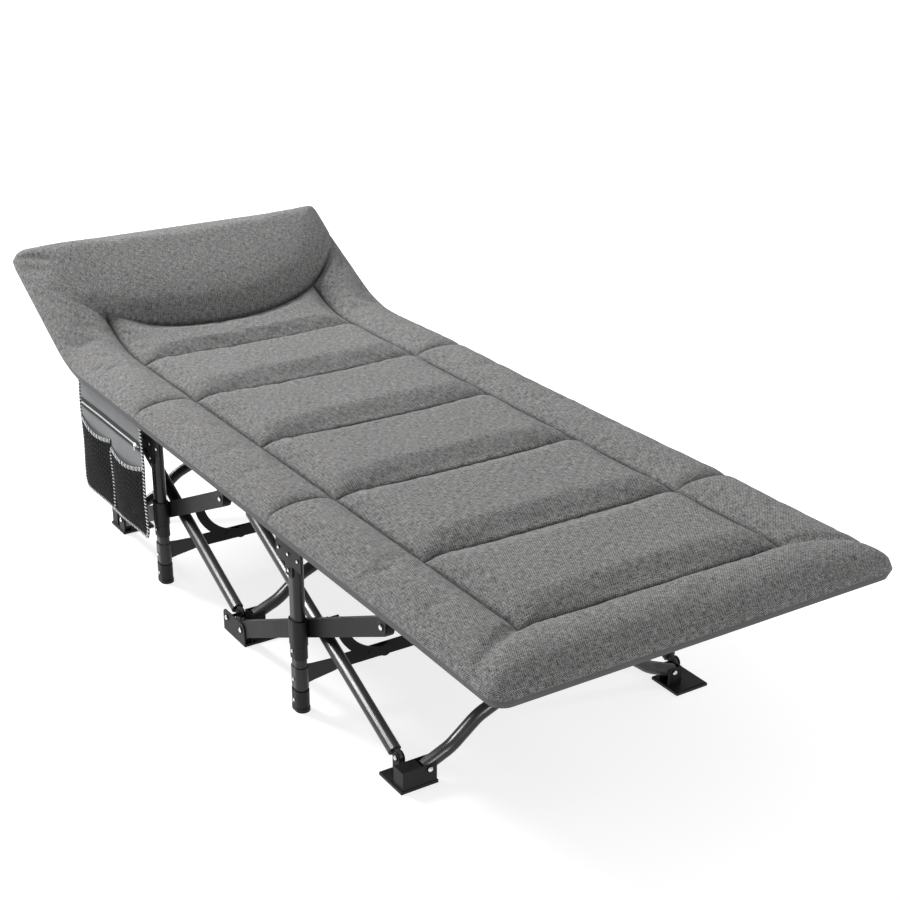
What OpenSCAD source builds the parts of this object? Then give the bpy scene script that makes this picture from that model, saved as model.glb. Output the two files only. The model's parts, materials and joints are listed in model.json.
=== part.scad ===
// Folding camp cot: a pop-up scissor frame of steel tubes under a padded bed in two halves.
// +X runs to the foot end, -Y is the near side with the pocket, +Z is up.
// The frame is drawn open. Every bar has the same pivot length and slope, so one angle folds it all.

/* [Bed] */
// Half of the bed's length along the floor
bed_half_len = 905; // [880:1:930]
// Width of the bed
bed_w = 710; // [700:1:720]
// Thickness of the padding
bed_t = 50; // [40:1:56]
// Height of the bed's underside
bed_under = 318; // [317:1:330]
// Radius of the bed's corners in plan
bed_corner_r = 36; // [20:1:60]
// Distance from the middle to the kink where the head section starts
kink_x = 600; // [580:1:620]
// Slope of the head section
flap_angle = 27; // [22:1:28]
// Height of the pillow above the head section
pillow_h = 26; // [10:1:36]

/* [Frame] */
// Distance between two stations of feet along the cot
pitch = 550; // [545:1:556]
// Distance from a station to the pivots of its side bars
pivot_inset = 28; // [27:1:30]
// Height of the lower pivots
foot_z = 28; // [26:1:30]
// Height that every bar gains from its lower to its upper pivot
rise = 230; // [226:1:232]
// Outer radius of the round tubes
tube_r = 11; // [10:0.5:11]
// Wall of the tubes
wall = 1.5; // [1:0.1:2]
// Depth of the flat side bars
rect_h = 30; // [26:1:30]
// Thickness of the flat side bars
rect_t = 12; // [10:1:12]

/* [Legs] */
// Width of a leg post
leg_w = 30; // [28:1:32]
// Depth of a leg post
leg_d = 20; // [18:1:20]
// Height of a leg post's top
leg_top = 286; // [280:1:290]
// Height of the low plates between the legs
plate_z = 63; // [60:1:66]
// Half height of the low plates
plate_hh = 12; // [10:1:12]

/* [Pocket] */
// Length of the side pocket
pocket_l = 310; // [280:1:320]
// Height of the pocket's lower edge
pocket_z = 95; // [80:1:120]

/* [Hidden] */
$fn = 48;
eps = 0.01;
play = 0.3;
flap_len = (bed_half_len - kink_x) / cos(flap_angle);
span = pitch - 2 * pivot_inset;
bar_l = sqrt(span * span + rise * rise);
slope = atan2(rise, span);
top_z = foot_z + rise;
mid_z = foot_z + rise / 2;
leg_x = pitch / 2;
cross_y = span / 2;
round_y = cross_y + 2 * tube_r + 1;
rect_y = round_y + tube_r + 1.5 + rect_t / 2;
leg_y = rect_y + rect_t / 2 + 3.5 + leg_d / 2;
tongue_t = 6;
pin_r = 3;
hole_r = 3.06;
rivet_head_r = 5.5;
bolt_r = 4;
bolt_hole_r = 4.06;
cross_gap = 2 * tube_r + 2;
outer_face_y = rect_y + rect_t / 2 + play + 2;
hub_top_z = bed_under - 4;
plate_pivot_y = cross_y - 9;
brace_y = plate_pivot_y - 4;
brace_z = mid_z - 6;
leaf_t = 3;
leaf_x = 3;
brace_pin = 60;
steel = [0.10, 0.10, 0.11];
plastic = [0.06, 0.06, 0.06];
plate_black = [0.08, 0.08, 0.08];
cloth_grey = [0.45, 0.46, 0.46];
cloth_dark = [0.20, 0.21, 0.23];

// Draws its children on the near side (s = -1) or mirrored on the far side (s = 1).
module on_side(s) {
    if (s < 0) children();
    else mirror([0, 1, 0]) children();
}

// A rod along Y between two y values, through the origin in X and Z.
module rod_y(r, y0, y1) {
    translate([0, y0, 0]) rotate([-90, 0, 0]) cylinder(r = r, h = y1 - y0);
}

// A rod along X between two x values.
module rod_x(r, x0, x1) {
    translate([x0, 0, 0]) rotate([0, 90, 0]) cylinder(r = r, h = x1 - x0);
}

// A box from its low corner to its high corner.
module block(lo, hi) {
    translate(lo) cube(hi - lo);
}

// Stadium outline, as the leg posts and their sleeves have.
module stadium(w, d) {
    for (x = [-1, 1]) translate([x * (w - d) / 2, 0]) circle(d = d);
    square([w - d, d], center = true);
}

// ---- side bars ----

// Flat bar along +X from its pivot at the origin, centred on Y = 0.
module flat_bar() {
    end_r = rect_h / 2;
    color(steel)
    difference() {
        union() {
            block([0, -rect_t / 2, -end_r], [bar_l, rect_t / 2, end_r]);
            for (x = [0, bar_l]) translate([x, 0, 0]) rod_y(end_r, -rect_t / 2, rect_t / 2);
        }
        block([18, wall - rect_t / 2, wall - end_r], [bar_l - 18, rect_t / 2 - wall, end_r - wall]);
        for (x = [0, bar_l]) translate([x, 0, 0]) rod_y(hole_r, -rect_t, rect_t);
        translate([bar_l / 2, 0, 0]) rod_y(bolt_hole_r, -rect_t, rect_t);
    }
}

// Round bar along +X with flattened ends, from its pivot at the origin.
module round_bar() {
    start = 13;
    color(steel)
    difference() {
        union() {
            difference() {
                rod_x(tube_r, start, bar_l - start);
                rod_x(tube_r - wall, start + wall, bar_l - start - wall);
            }
            for (x = [0, bar_l]) translate([x, 0, 0]) rod_y(8, -tongue_t / 2, tongue_t / 2);
            block([0, -tongue_t / 2, -8], [start + 10, tongue_t / 2, 8]);
            block([bar_l - start - 10, -tongue_t / 2, -8], [bar_l, tongue_t / 2, 8]);
        }
        for (x = [0, bar_l]) translate([x, 0, 0]) rod_y(hole_r, -tube_r, tube_r);
        translate([bar_l / 2, 0, 0]) rod_y(bolt_hole_r, -2 * tube_r, 2 * tube_r);
    }
}

// Places a bar on its lower pivot, rising towards +X (dir = 1) or -X (dir = -1).
module place_bar(s, x, y, dir) {
    on_side(s) translate([x, -y, foot_z]) mirror([dir > 0 ? 0 : 1, 0, 0]) rotate([0, -slope, 0]) children();
}

module flat_bar_head(s) { place_bar(s, -pitch + pivot_inset, rect_y, 1) flat_bar(); }
module flat_bar_foot(s) { place_bar(s, pivot_inset, rect_y, 1) flat_bar(); }
module round_bar_head(s) { place_bar(s, -pivot_inset, round_y, -1) round_bar(); }
module round_bar_foot(s) { place_bar(s, pitch - pivot_inset, round_y, -1) round_bar(); }

// ---- cross tubes ----

jog_start = [48, -2.5];
jog_end = [108, 11];
bend_r = 80;
end_over = 5;
weld_gap = 0.2;
weld_l = 3;
weld_extra = 0.12;
clip_l = 28;

function heading(a, b) = atan2(b[1] - a[1], b[0] - a[0]);
function bend_tangent(turn) = bend_r * tan(abs(turn) / 2);

middle = [bar_l / 2, 0];
end_heading = heading([0, 0], jog_start);
jog_heading = heading(jog_start, jog_end);
mid_heading = heading(jog_end, middle);
turn_in = jog_heading - end_heading;
turn_out = mid_heading - jog_heading;

// Ring-shaped section of a tube's wall, or of the slightly larger weld ring round a joint.
module wall_ring(extra) {
    difference() {
        circle(r = tube_r + extra);
        circle(r = tube_r - wall - extra);
    }
}

// Straight tube along +X between two x values.
module straight(x0, x1, extra = 0) {
    translate([x0, 0, 0]) rotate([90, 0, 90]) linear_extrude(x1 - x0) wall_ring(extra);
}

// Straight tube from one bend point to the next, cut short by a length at each end.
module tube_run(a, b, cut_a, cut_b) {
    translate(a) rotate([0, 0, heading(a, b)]) straight(cut_a, norm(b - a) - cut_b);
}

// Bend at a point, from a heading through a turn to the left (positive) or right, with its weld rings.
module tube_bend(at, from, turn) {
    tangent = bend_tangent(turn);
    translate(at) rotate([0, 0, from]) mirror([0, turn > 0 ? 0 : 1, 0]) {
        translate([-tangent, bend_r, 0]) rotate([0, 0, -90])
            rotate_extrude(angle = abs(turn)) translate([bend_r, 0]) wall_ring(0);
        translate([-tangent, 0, 0]) straight(-weld_l / 2, weld_l / 2, weld_extra);
        rotate([0, 0, abs(turn)]) translate([tangent, 0, 0]) straight(-weld_l / 2, weld_l / 2, weld_extra);
    }
}

// Half of a cross tube, from its pivot at the origin through the jog to the tube's middle.
module half_tube() {
    cut_in = bend_tangent(turn_in) + weld_gap;
    cut_out = bend_tangent(turn_out) + weld_gap;
    tube_run([0, 0], jog_start, -end_over, cut_in);
    tube_bend(jog_start, end_heading, turn_in);
    tube_run(jog_start, jog_end, cut_in, cut_out);
    tube_bend(jog_end, jog_heading, turn_out);
    tube_run(jog_end, middle, cut_out, weld_gap / 2);
}

// Cross tube in the plane of its bends, with the clip round its middle.
// own_pin draws the pin that joins it to its partner.
module cross_tube(own_pin) {
    difference() {
        union() {
            half_tube();
            translate([bar_l, 0, 0]) rotate([0, 0, 180]) half_tube();
            translate(middle) rotate([0, 0, mid_heading]) straight(-clip_l / 2, clip_l / 2, 0.8);
        }
        for (x = [0, bar_l]) translate([x, 0, -20]) cylinder(r = hole_r, h = 40);
        if (!own_pin) translate([bar_l / 2, 0, -20]) cylinder(r = hole_r, h = 40);
    }
    if (own_pin) translate([bar_l / 2, 0, -tube_r - 2.2]) {
        cylinder(r = pin_r, h = 2 * tube_r + cross_gap + 4.4);
        cylinder(r = rivet_head_r, h = 1.6);
    }
}

// First tube of a pair rises to the far side, second tube rises to the near side.
module cross_a(x, out) {
    color(steel) translate([x, -cross_y, foot_z]) rotate([slope, 0, 0]) rotate([90, 0, 90])
        mirror([0, 0, out > 0 ? 0 : 1]) cross_tube(true);
}

module cross_b(x) {
    color(steel) translate([x, cross_y, foot_z]) mirror([0, 1, 0]) rotate([slope, 0, 0]) rotate([90, 0, 90])
        cross_tube(false);
}

// X of the two tubes of each pair.
mid_a_x = -cross_gap / 2;
mid_b_x = cross_gap / 2;
foot_a_x = pitch + cross_gap / 2;
foot_b_x = pitch - cross_gap / 2;

// ---- clevises, brackets and pins ----

// Cheek plate in the XZ plane around a pivot, running down (up = -1) or up (up = 1) to its base.
module cheek(r, y0, y1, reach, up) {
    rod_y(r, y0, y1);
    block([-r, y0, up > 0 ? 0 : -reach], [r, y1, up > 0 ? reach : 0]);
}

// Clevis and rivet for a side bar's end, at its pivot.
module clevis(flat, reach, up) {
    y = flat ? rect_y : round_y;
    half = (flat ? rect_t : tongue_t) / 2 + play;
    r = flat ? 12 : 10;
    translate([0, -y, 0]) {
        cheek(r, -half - 2, -half, reach, up);
        cheek(r, half, half + 2, reach, up);
        rod_y(pin_r, -half - 3, half + 3);
        rod_y(rivet_head_r, -half - 3.4, -half - 1.5);
        rod_y(5, half + 1.5, half + 3.2);
    }
}

// Box bracket, open towards the middle, and rivet for a cross tube's end at its pivot.
// back_t is the thickness of its closed outer side.
module tube_bracket(reach, up, back_t = 2.4) {
    half = tube_r + play;
    web_y = tube_r + 1.8;
    low = up > 0 ? -8 : -reach;
    high = up > 0 ? reach : 8;
    translate([0, -cross_y, 0]) {
        for (x = [-half - 2, half]) block([x, -web_y - eps, low], [x + 2, 12, high]);
        block([-half - 2, -web_y - back_t, low], [half + 2, -web_y, high]);
        rod_x(pin_r, -half - 3, half + 3);
        rod_x(rivet_head_r, -half - 3.6, -half - 1.5);
        rod_x(rivet_head_r, half + 1.5, half + 3.6);
    }
}

// ---- feet and hubs ----

base_t = 5;
base_in_y = cross_y - 14;
base_out_y = outer_face_y + 1.5;

// X span of the pads and hubs at an end: dir = 1 at the foot end, dir = -1 at the head end.
function end_span(dir) = dir > 0
    ? [pitch - pivot_inset - 12, foot_a_x + 14]
    : [-foot_a_x - 14, -pitch + pivot_inset + 12];

// Foot pad: base plate, clevis of the side bar and bracket of the cross tube.
module pad(s, dir, tube_x) {
    side_x = dir * (pitch - pivot_inset);
    lo_x = end_span(dir)[0];
    hi_x = end_span(dir)[1];
    color(plastic) on_side(s) {
        block([lo_x, -base_out_y, 0], [hi_x, -base_in_y, base_t]);
        block([lo_x + 2, -base_out_y + 2, base_t - eps], [hi_x - 2, -base_in_y - 2, base_t + 1.2]);
        translate([side_x, 0, foot_z]) clevis(dir < 0, foot_z - base_t, -1);
        translate([tube_x, 0, foot_z])
            tube_bracket(foot_z - base_t, -1, abs(tube_x) > pitch ? base_out_y - cross_y - tube_r - 5 : 2.4);
    }
}

// Centre connector: a long two-rivet side plate on a base, with the first cross tube's bracket.
module connector(s, tube_x) {
    half_l = pivot_inset + 14;
    color(plate_black) on_side(s) {
        block([-half_l, -outer_face_y, 0], [half_l, -base_in_y, base_t]);
        translate([0, -outer_face_y, 0]) {
            block([-half_l, 0, 0], [half_l, 2, foot_z + 4]);
            block([-half_l + 10, 0, foot_z], [half_l - 10, 2, foot_z + 14]);
            for (x = [-1, 1]) translate([x * (half_l - 10), 0, foot_z + 4]) rod_y(10, 0, 2);
        }
        translate([pivot_inset, 0, foot_z]) clevis(true, foot_z - 1, -1);
        translate([-pivot_inset, 0, foot_z]) {
            clevis(false, foot_z - 1, -1);
            rod_y(pin_r, -outer_face_y - 1, -round_y);
            rod_y(rivet_head_r, -outer_face_y - 1.6, -outer_face_y + 1);
        }
        translate([tube_x, 0, foot_z]) tube_bracket(foot_z - 1, -1);
    }
}

// Rounded cap block of a hub, on which the bed lies.
module hub_block(lo_x, hi_x) {
    base = top_z + 22;
    bevel = hub_top_z - base - 12;
    translate([lo_x, 0, 0]) rotate([90, 0, 90]) linear_extrude(hi_x - lo_x) polygon([
        [-base_out_y, base], [-base_in_y, base], [-base_in_y, base + 12],
        [-base_in_y - 6, hub_top_z], [-base_out_y + 24, hub_top_z],
        [-base_out_y + 24 - bevel, hub_top_z - bevel / 2], [-base_out_y, base + 10],
    ]);
}

// Hub at the upper pivots, over an X span. sides lists [x, flat] for each side bar that ends in it.
module hub(s, across, sides, tube_x) {
    reach = 23;
    color(plastic) on_side(s) {
        hub_block(across[0], across[1]);
        for (b = sides) translate([b[0], 0, top_z]) clevis(b[1], reach, 1);
        translate([tube_x, 0, top_z]) tube_bracket(reach, 1);
    }
}

module hub_mid(s) {
    half_l = pivot_inset + 14;
    hub(s, [-half_l, half_l], [[-pivot_inset, true], [pivot_inset, false]], s < 0 ? mid_b_x : mid_a_x);
}

module hub_foot(s) {
    hub(s, end_span(1), [[pitch - pivot_inset, true]], s < 0 ? foot_b_x : foot_a_x);
}

module hub_head(s) {
    hub(s, end_span(-1), [[-pitch + pivot_inset, false]], s < 0 ? -foot_b_x : -foot_a_x);
}

// ---- legs ----

// Turns its children round the plane of the head legs (dir = -1) or foot legs (dir = 1) for each side.
module leg_plane(s, dir) {
    translate([dir * leg_x, 0, 0]) rotate([0, 0, s < 0 ? 0 : 180]) children();
}

// Places a leg part at the head leg (dir = -1) or the foot leg (dir = 1).
module at_leg(s, dir) {
    leg_plane(s, dir) translate([0, -leg_y, 0]) children();
}

// Hollow sleeve round the leg post.
module sleeve(z0, z1, thick, gap) {
    inner_w = leg_w + 2 * gap;
    inner_d = leg_d + 2 * gap;
    translate([0, 0, z0]) linear_extrude(z1 - z0) difference() {
        stadium(inner_w + 2 * thick, inner_d + 2 * thick);
        stadium(inner_w, inner_d);
    }
}

module leg(s, dir) {
    color(steel) at_leg(s, dir) translate([0, 0, 8]) linear_extrude(leg_top - 8) difference() {
        stadium(leg_w, leg_d);
        stadium(leg_w - 2 * wall, leg_d - 2 * wall);
    }
}

// Foot cap and the stop ring above it.
module leg_cap(s, dir) {
    color(plastic) at_leg(s, dir) {
        linear_extrude(7) stadium(leg_w + 6, leg_d + 5);
        sleeve(6, 38, 2, 0.1);
        sleeve(96, 119, 1.8, 0.1);
        for (z = [20, 110]) translate([0, 0, z]) rod_y(2.8, -leg_d / 2 - 3, -leg_d / 2 - 1);
    }
}

// Steel collar with the arm that carries the low plate inboard of the side bars.
module leg_collar(s, dir) {
    arm_y = leg_y - plate_pivot_y;
    color(steel) at_leg(s, dir) {
        sleeve(42, 80, 1.6, 0.1);
        translate([0, 0, 58]) rod_y(2.8, -leg_d / 2 - 2.8, -leg_d / 2 - 1);
        translate([-1.2, 0, 0]) rotate([90, 0, 90]) linear_extrude(2.4) polygon([
            [leg_d / 2 + 0.4, 43], [leg_d / 2 + 14, 46], [arm_y - 10, plate_z - plate_hh],
            [arm_y + 8, plate_z - 8], [arm_y + 8, plate_z + 8], [arm_y - 10, plate_z + plate_hh],
            [leg_d / 2 + 14, 77], [leg_d / 2 + 0.4, 79],
        ]);
        translate([0, arm_y, plate_z]) {
            rod_x(pin_r, -6, 0);
            rod_x(rivet_head_r, -6.4, -4.8);
        }
    }
}

// T-shaped bracket that holds the edge of the bed, with three rivets in a row and one below.
module leg_bracket(s, dir) {
    y0 = -leg_d / 2 - 2.6;
    color(plate_black) at_leg(s, dir) {
        block([-42, y0, 264], [42, y0 + 2.2, 300]);
        block([-leg_w / 2 + 4, y0, 244], [leg_w / 2 - 4, y0 + 2.2, 265]);
        for (x = [-32, 0, 32]) translate([x, 0, 282]) rod_y(3, y0 - 1.4, y0 + 1);
        translate([0, 0, 254]) rod_y(3, y0 - 1.4, y0 + 1);
    }
}

// Black pivot body that slides on the leg. Its bolt carries both side bars and the brace's yoke.
module slider(s, dir) {
    bolt_end = leg_y - round_y + tube_r + 0.6;
    yoke_y = leg_y - brace_y;
    color(plastic) at_leg(s, dir) {
        sleeve(120, 165, 2.7, play);
        translate([0, 0, mid_z]) {
            rod_y(bolt_r, leg_d / 2 + 1.5, bolt_end + 6);
            rod_y(9, bolt_end, bolt_end + 6);
            block([-1.2, bolt_end + 2, -14], [1.2, yoke_y, 8]);
        }
        translate([0, yoke_y, brace_z]) {
            rod_x(8, -1.2, 1.2);
            rod_x(pin_r, 0, 6);
            rod_x(rivet_head_r, 4.8, 6.4);
        }
    }
}

// ---- low plates and braces ----

// Half of the low plate, from its pivot at the leg's arm to the centre line.
module low_plate(s, dir) {
    color(plate_black) leg_plane(s, dir) translate([-leaf_x - leaf_t / 2, 0, plate_z])
        rotate([90, 0, 90]) difference() {
            union() {
                linear_extrude(leaf_t) {
                    translate([-plate_pivot_y, -plate_hh]) square([plate_pivot_y, 2 * plate_hh]);
                    for (y = [-plate_pivot_y, 0]) translate([y, 0]) circle(r = plate_hh);
                }
                translate([0, 0, -1.4]) cylinder(r = rivet_head_r, h = leaf_x + leaf_t / 2 + 1.4 - play);
            }
            translate([-plate_pivot_y, 0, -1]) cylinder(r = hole_r, h = leaf_t + 2);
            translate([-plate_pivot_y + brace_pin, 0, -1]) cylinder(r = hole_r, h = leaf_t + 2);
        }
}

// Curved brace from the slider's yoke down to the low plate, with a larger eye at each end.
module brace(s, dir) {
    drop = brace_z - plate_z;
    run = 84;
    arc_r = (run * run + drop * drop) / (2 * drop);
    half_w = 9;
    eye_r = 11;
    color(plate_black) leg_plane(s, dir) translate([leaf_x - leaf_t / 2, -brace_y, 0])
        rotate([90, 0, 90]) difference() {
            union() {
                linear_extrude(leaf_t) {
                    intersection() {
                        translate([run, plate_z + arc_r]) difference() {
                            circle(r = arc_r + half_w);
                            circle(r = arc_r - half_w);
                        }
                        translate([-2 * half_w, plate_z - 2 * half_w])
                            square([run + 2 * half_w, drop + 2 * half_w]);
                    }
                    translate([0, brace_z]) circle(r = eye_r);
                    translate([run, plate_z]) circle(r = eye_r);
                }
                translate([brace_pin + brace_y - plate_pivot_y, plate_z + 3, leaf_t - 1])
                    cylinder(r = 5, h = 2.4);
            }
            translate([0, brace_z, -1]) cylinder(r = hole_r, h = leaf_t + 2);
        }
}

// ---- soft parts ----

// Point on the head section: along its slope, and up from its underside.
function on_flap(along, up) = [
    -kink_x - along * cos(flap_angle) + up * sin(flap_angle),
    bed_under + along * sin(flap_angle) + up * cos(flap_angle),
];

// Half of the padded bed, with the raised head section and its pillow.
module mattress(s) {
    gap = 0.4;
    color(cloth_grey) intersection() {
        on_side(s) translate([0, -gap, 0]) rotate([90, 0, 0]) linear_extrude(bed_w / 2 - gap) polygon([
            [bed_half_len, bed_under], [-kink_x, bed_under], on_flap(flap_len, 0),
            on_flap(flap_len, bed_t), on_flap(flap_len - 40, bed_t),
            on_flap(flap_len - 90, bed_t + pillow_h), on_flap(130, bed_t + pillow_h),
            on_flap(60, bed_t), on_flap(bed_t * tan(flap_angle / 2), bed_t),
            [bed_half_len, bed_under + bed_t],
        ]);
        translate([0, 0, bed_under - 10]) linear_extrude(400) {
            square([2 * (bed_half_len - bed_corner_r), bed_w], center = true);
            square([2 * bed_half_len, bed_w - 2 * bed_corner_r], center = true);
            for (x = [-1, 1], y = [-1, 1])
                translate([x * (bed_half_len - bed_corner_r), y * (bed_w / 2 - bed_corner_r)])
                    circle(r = bed_corner_r);
        }
    }
}

pocket_x = -leg_x + 1;
pocket_back_y = leg_y + leg_d / 2 + 16;

// Back panel of the side pocket.
module pocket_panel() {
    color(cloth_dark) block([pocket_x - pocket_l, -pocket_back_y - 3, pocket_z],
        [pocket_x, -pocket_back_y, bed_under - 4]);
}

// The two mesh pouches on the panel, open at the top and at the back where the panel closes them.
module pocket_mesh() {
    cloth = 1.6;
    depth = 14;
    pouch_l = pocket_l / 2 - 2;
    pouch_h = 128;
    back_y = -pocket_back_y - 3.3;
    color(plastic) for (i = [1, 2]) translate([pocket_x - i * pocket_l / 2 + 1, back_y - depth, pocket_z + 2])
        difference() {
            cube([pouch_l, depth, pouch_h]);
            translate([cloth, cloth, cloth]) cube([pouch_l - 2 * cloth, depth, pouch_h]);
        }
}

mattress(-1);  // mattress_near
mattress(1);  // mattress_far
pocket_panel();
pocket_mesh();
connector(-1, mid_a_x);  // connector_near
connector(1, mid_b_x);  // connector_far
pad(-1, -1, -foot_a_x);  // pad_head_near
pad(-1, 1, foot_a_x);  // pad_foot_near
pad(1, -1, -foot_b_x);  // pad_head_far
pad(1, 1, foot_b_x);  // pad_foot_far
hub_head(-1);  // hub_head_near
hub_mid(-1);  // hub_mid_near
hub_foot(-1);  // hub_foot_near
hub_head(1);  // hub_head_far
hub_mid(1);  // hub_mid_far
hub_foot(1);  // hub_foot_far
flat_bar_head(-1);  // flat_bar_head_near
flat_bar_foot(-1);  // flat_bar_foot_near
flat_bar_head(1);  // flat_bar_head_far
flat_bar_foot(1);  // flat_bar_foot_far
round_bar_head(-1);  // round_bar_head_near
round_bar_foot(-1);  // round_bar_foot_near
round_bar_head(1);  // round_bar_head_far
round_bar_foot(1);  // round_bar_foot_far
cross_a(-foot_a_x, 1);  // cross_head_a
cross_b(-foot_b_x);  // cross_head_b
cross_a(mid_a_x, 1);  // cross_mid_a
cross_b(mid_b_x);  // cross_mid_b
cross_a(foot_a_x, -1);  // cross_foot_a
cross_b(foot_b_x);  // cross_foot_b
slider(-1, -1);  // slider_head_near
slider(-1, 1);  // slider_foot_near
slider(1, -1);  // slider_head_far
slider(1, 1);  // slider_foot_far
leg(-1, -1);  // leg_head_near
leg(-1, 1);  // leg_foot_near
leg(1, -1);  // leg_head_far
leg(1, 1);  // leg_foot_far
leg_cap(-1, -1);  // leg_cap_head_near
leg_cap(-1, 1);  // leg_cap_foot_near
leg_cap(1, -1);  // leg_cap_head_far
leg_cap(1, 1);  // leg_cap_foot_far
leg_collar(-1, -1);  // leg_collar_head_near
leg_collar(-1, 1);  // leg_collar_foot_near
leg_collar(1, -1);  // leg_collar_head_far
leg_collar(1, 1);  // leg_collar_foot_far
leg_bracket(-1, -1);  // leg_bracket_head_near
leg_bracket(-1, 1);  // leg_bracket_foot_near
leg_bracket(1, -1);  // leg_bracket_head_far
leg_bracket(1, 1);  // leg_bracket_foot_far
low_plate(-1, -1);  // low_plate_head_near
low_plate(-1, 1);  // low_plate_foot_near
low_plate(1, -1);  // low_plate_head_far
low_plate(1, 1);  // low_plate_foot_far
brace(-1, -1);  // brace_head_near
brace(-1, 1);  // brace_foot_near
brace(1, -1);  // brace_head_far
brace(1, 1);  // brace_foot_far
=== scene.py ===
"""Folding camp cot: the looks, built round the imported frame. Lengths are metres in the CAD's frame."""
import json
import math

import bpy
import numpy as np
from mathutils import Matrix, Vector


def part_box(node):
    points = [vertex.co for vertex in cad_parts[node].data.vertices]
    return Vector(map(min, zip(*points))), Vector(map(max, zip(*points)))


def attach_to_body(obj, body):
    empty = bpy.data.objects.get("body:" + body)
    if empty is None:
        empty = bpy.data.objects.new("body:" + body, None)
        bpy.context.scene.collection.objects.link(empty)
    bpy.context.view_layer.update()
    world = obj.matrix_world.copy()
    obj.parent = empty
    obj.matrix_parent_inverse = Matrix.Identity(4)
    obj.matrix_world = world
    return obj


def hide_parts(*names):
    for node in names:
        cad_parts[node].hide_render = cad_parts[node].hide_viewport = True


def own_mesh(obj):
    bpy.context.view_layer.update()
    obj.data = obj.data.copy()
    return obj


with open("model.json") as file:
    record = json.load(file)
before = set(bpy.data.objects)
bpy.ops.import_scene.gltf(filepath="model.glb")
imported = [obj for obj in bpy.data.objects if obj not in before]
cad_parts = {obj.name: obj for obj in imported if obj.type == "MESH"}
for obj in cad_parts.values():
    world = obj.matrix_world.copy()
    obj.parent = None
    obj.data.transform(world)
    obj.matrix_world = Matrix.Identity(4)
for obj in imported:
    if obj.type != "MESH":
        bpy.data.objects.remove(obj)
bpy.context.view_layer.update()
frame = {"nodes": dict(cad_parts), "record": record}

# ---------------------------------------------------------------- camera, floor and light

CAMERA_AT = (2.328, -1.331, 1.38)
CAMERA_AZIMUTH = math.radians(57.44)
CAMERA_DOWN = math.radians(22.08)
LENS_MM = 64.5


def add_camera():
    """Camera at the photo's viewing angle."""
    data = bpy.data.cameras.new("camera")
    data.lens = LENS_MM
    data.sensor_width = 36
    camera = bpy.data.objects.new("camera", data)
    camera.location = CAMERA_AT
    camera.rotation_euler = (math.pi / 2 - CAMERA_DOWN, 0, CAMERA_AZIMUTH)
    bpy.context.scene.collection.objects.link(camera)
    bpy.context.scene.camera = camera


def area_light(name, at, aim, size, watts, only=None):
    """Soft light that looks at a point. It may be a tall strip, and may fall on one collection only."""
    data = bpy.data.lights.new(name, "AREA")
    data.shape = "RECTANGLE"
    data.size, data.size_y = size
    data.energy = watts
    lamp = bpy.data.objects.new(name, data)
    lamp.location = at
    lamp.rotation_euler = (Vector(aim) - Vector(at)).to_track_quat("-Z", "Y").to_euler()
    if only:
        lamp.light_linking.receiver_collection = only
    bpy.context.scene.collection.objects.link(lamp)


def add_studio():
    """Soft key and rim light, two strips that fall on the round tubes only, and a plain world."""
    tubes = bpy.data.collections.new("tubes")
    for name, node in frame["nodes"].items():
        if name.startswith(("round_bar", "cross")):
            tubes.objects.link(node)
    area_light("key", (-3.4, -1.2, 3.2), (0, 0, 0.3), (1.6, 1.6), 320)
    area_light("rim", (1.8, 2.4, 2.0), (0, 0, 0.3), (0.5, 0.5), 10)
    area_light("side_strip", (-0.5, -2.25, 2.6), (0.3, -0.27, 0.15), (0.30, 2.2), 420, tubes)
    area_light("end_strip", (2.8, 0.2, 1.9), (0.55, -0.1, 0.1), (0.35, 2.0), 150, tubes)
    world = bpy.data.worlds.new("studio")
    world.use_nodes = True
    backdrop = world.node_tree.nodes["Background"]
    backdrop.inputs["Color"].default_value = (1, 1, 1, 1)
    backdrop.inputs["Strength"].default_value = 0.62
    bpy.context.scene.world = world
    bpy.context.scene.view_settings.view_transform = "Standard"


# ---------------------------------------------------------------- material helpers


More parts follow.
